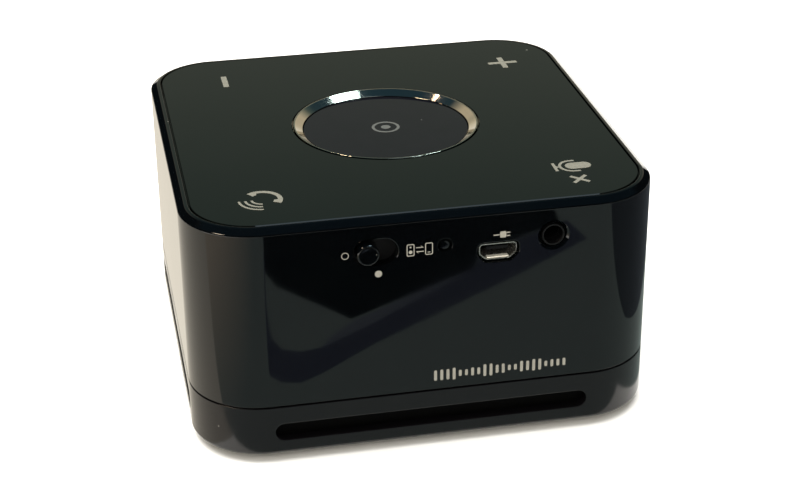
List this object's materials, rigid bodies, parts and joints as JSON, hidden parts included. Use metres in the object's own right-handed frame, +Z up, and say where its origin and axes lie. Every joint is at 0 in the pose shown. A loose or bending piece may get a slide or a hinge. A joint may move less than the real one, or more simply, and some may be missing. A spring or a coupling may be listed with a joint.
{
  "type": "conference speakerphone",
  "caption": "Square desktop speakerphone: black gloss case, touch panel with a bright ring, slotted base, power slider, pairing button, charging and audio sockets, downward loudspeaker.",
  "frame": {"origin": "on the desk under the middle of the case, at the level of the feet", "axes": "+Z up; -Y out of the face with the ports and switches; +X to the right of someone looking at that face"},
  "size_m": [0.092, 0.0932, 0.0499],
  "materials": {
    "piano_black": "polished black moulded shell",
    "panel_black": "smoked clear acrylic, black printed behind",
    "disc_black": "tinted acrylic",
    "ring_chrome": "bright plated",
    "base_black": "satin black moulded",
    "inner_black": "plain black moulded",
    "rubber_black": "moulded rubber",
    "foam_black": "closed-cell foam",
    "slot_cloth": "black acoustic cloth",
    "plated_steel": "nickel-plated",
    "ferrite": "dull grey-black ceramic magnet",
    "cone_paper": "black pressed paper",
    "copper": "enamelled copper wire",
    "board_green": "green circuit board",
    "battery_foil": "laminated battery pouch",
    "ribbon_film": "amber flexible circuit",
    "lead_sleeve": "red insulated lead",
    "print_cream": "cream pad-printed ink"
  },
  "bodies": {
    "case": {"upper_housing": "piano_black", "top_panel": "panel_black", "centre_disc": "disc_black", "chrome_ring": "ring_chrome", "base_shell": "base_black", "sound_deflector": "base_black", "speaker_baffle": "inner_black", "slide_switch_body": "inner_black", "tact_switch_body": "inner_black", "micro_usb_tongue": "inner_black", "audio_jack_body": "inner_black", "audio_jack_collar": "inner_black", "radio_chip": "inner_black", "rubber_foot_1": "rubber_black", "rubber_foot_2": "rubber_black", "rubber_foot_3": "rubber_black", "rubber_foot_4": "rubber_black", "speaker_surround": "rubber_black", "microphone_boot": "rubber_black", "speaker_gasket": "foam_black", "battery_pad": "foam_black", "slot_screen_front": "slot_cloth", "slot_screen_rear": "slot_cloth", "slot_screen_left": "slot_cloth", "slot_screen_right": "slot_cloth", "speaker_spider": "slot_cloth", "case_screw_1": "plated_steel", "case_screw_2": "plated_steel", "case_screw_3": "plated_steel", "case_screw_4": "plated_steel", "board_screw_1": "plated_steel", "board_screw_2": "plated_steel", "board_screw_3": "plated_steel", "board_screw_4": "plated_steel", "speaker_screw_1": "plated_steel", "speaker_screw_2": "plated_steel", "speaker_screw_3": "plated_steel", "speaker_screw_4": "plated_steel", "speaker_basket": "plated_steel", "speaker_front_plate": "plated_steel", "speaker_yoke": "plated_steel", "micro_usb_shell": "plated_steel", "shield_can": "plated_steel", "microphone_capsule": "plated_steel", "speaker_magnet": "ferrite", "contactless_coil": "copper", "touch_board": "board_green", "main_board": "board_green", "contactless_board": "board_green", "battery_cell": "battery_foil", "touch_ribbon": "ribbon_film", "battery_lead": "lead_sleeve", "speaker_lead": "lead_sleeve"},
    "power_knob": {"power_slider": "piano_black", "slide_switch_lever": "inner_black"},
    "pair_button": {"pairing_button": "piano_black", "tact_switch_plunger": "inner_black"},
    "cone": {"speaker_cone": "cone_paper", "voice_coil": "copper", "dust_cap": "cone_paper"}
  },
  "joints": [
    {"name": "power_slide", "type": "slide", "parent": "case", "child": "power_knob", "axis": [1, 0, 0], "range_m": [0, 0.003]},
    {"name": "pair_press", "type": "slide", "parent": "case", "child": "pair_button", "axis": [0, 1, 0], "range_m": [0, 0.0004], "stiffness_N_per_m": 3000},
    {"name": "cone_travel", "type": "slide", "parent": "case", "child": "cone", "axis": [0, 0, 1], "range_m": [-0.0008, 0.0008], "stiffness_N_per_m": 1200}
  ]
}
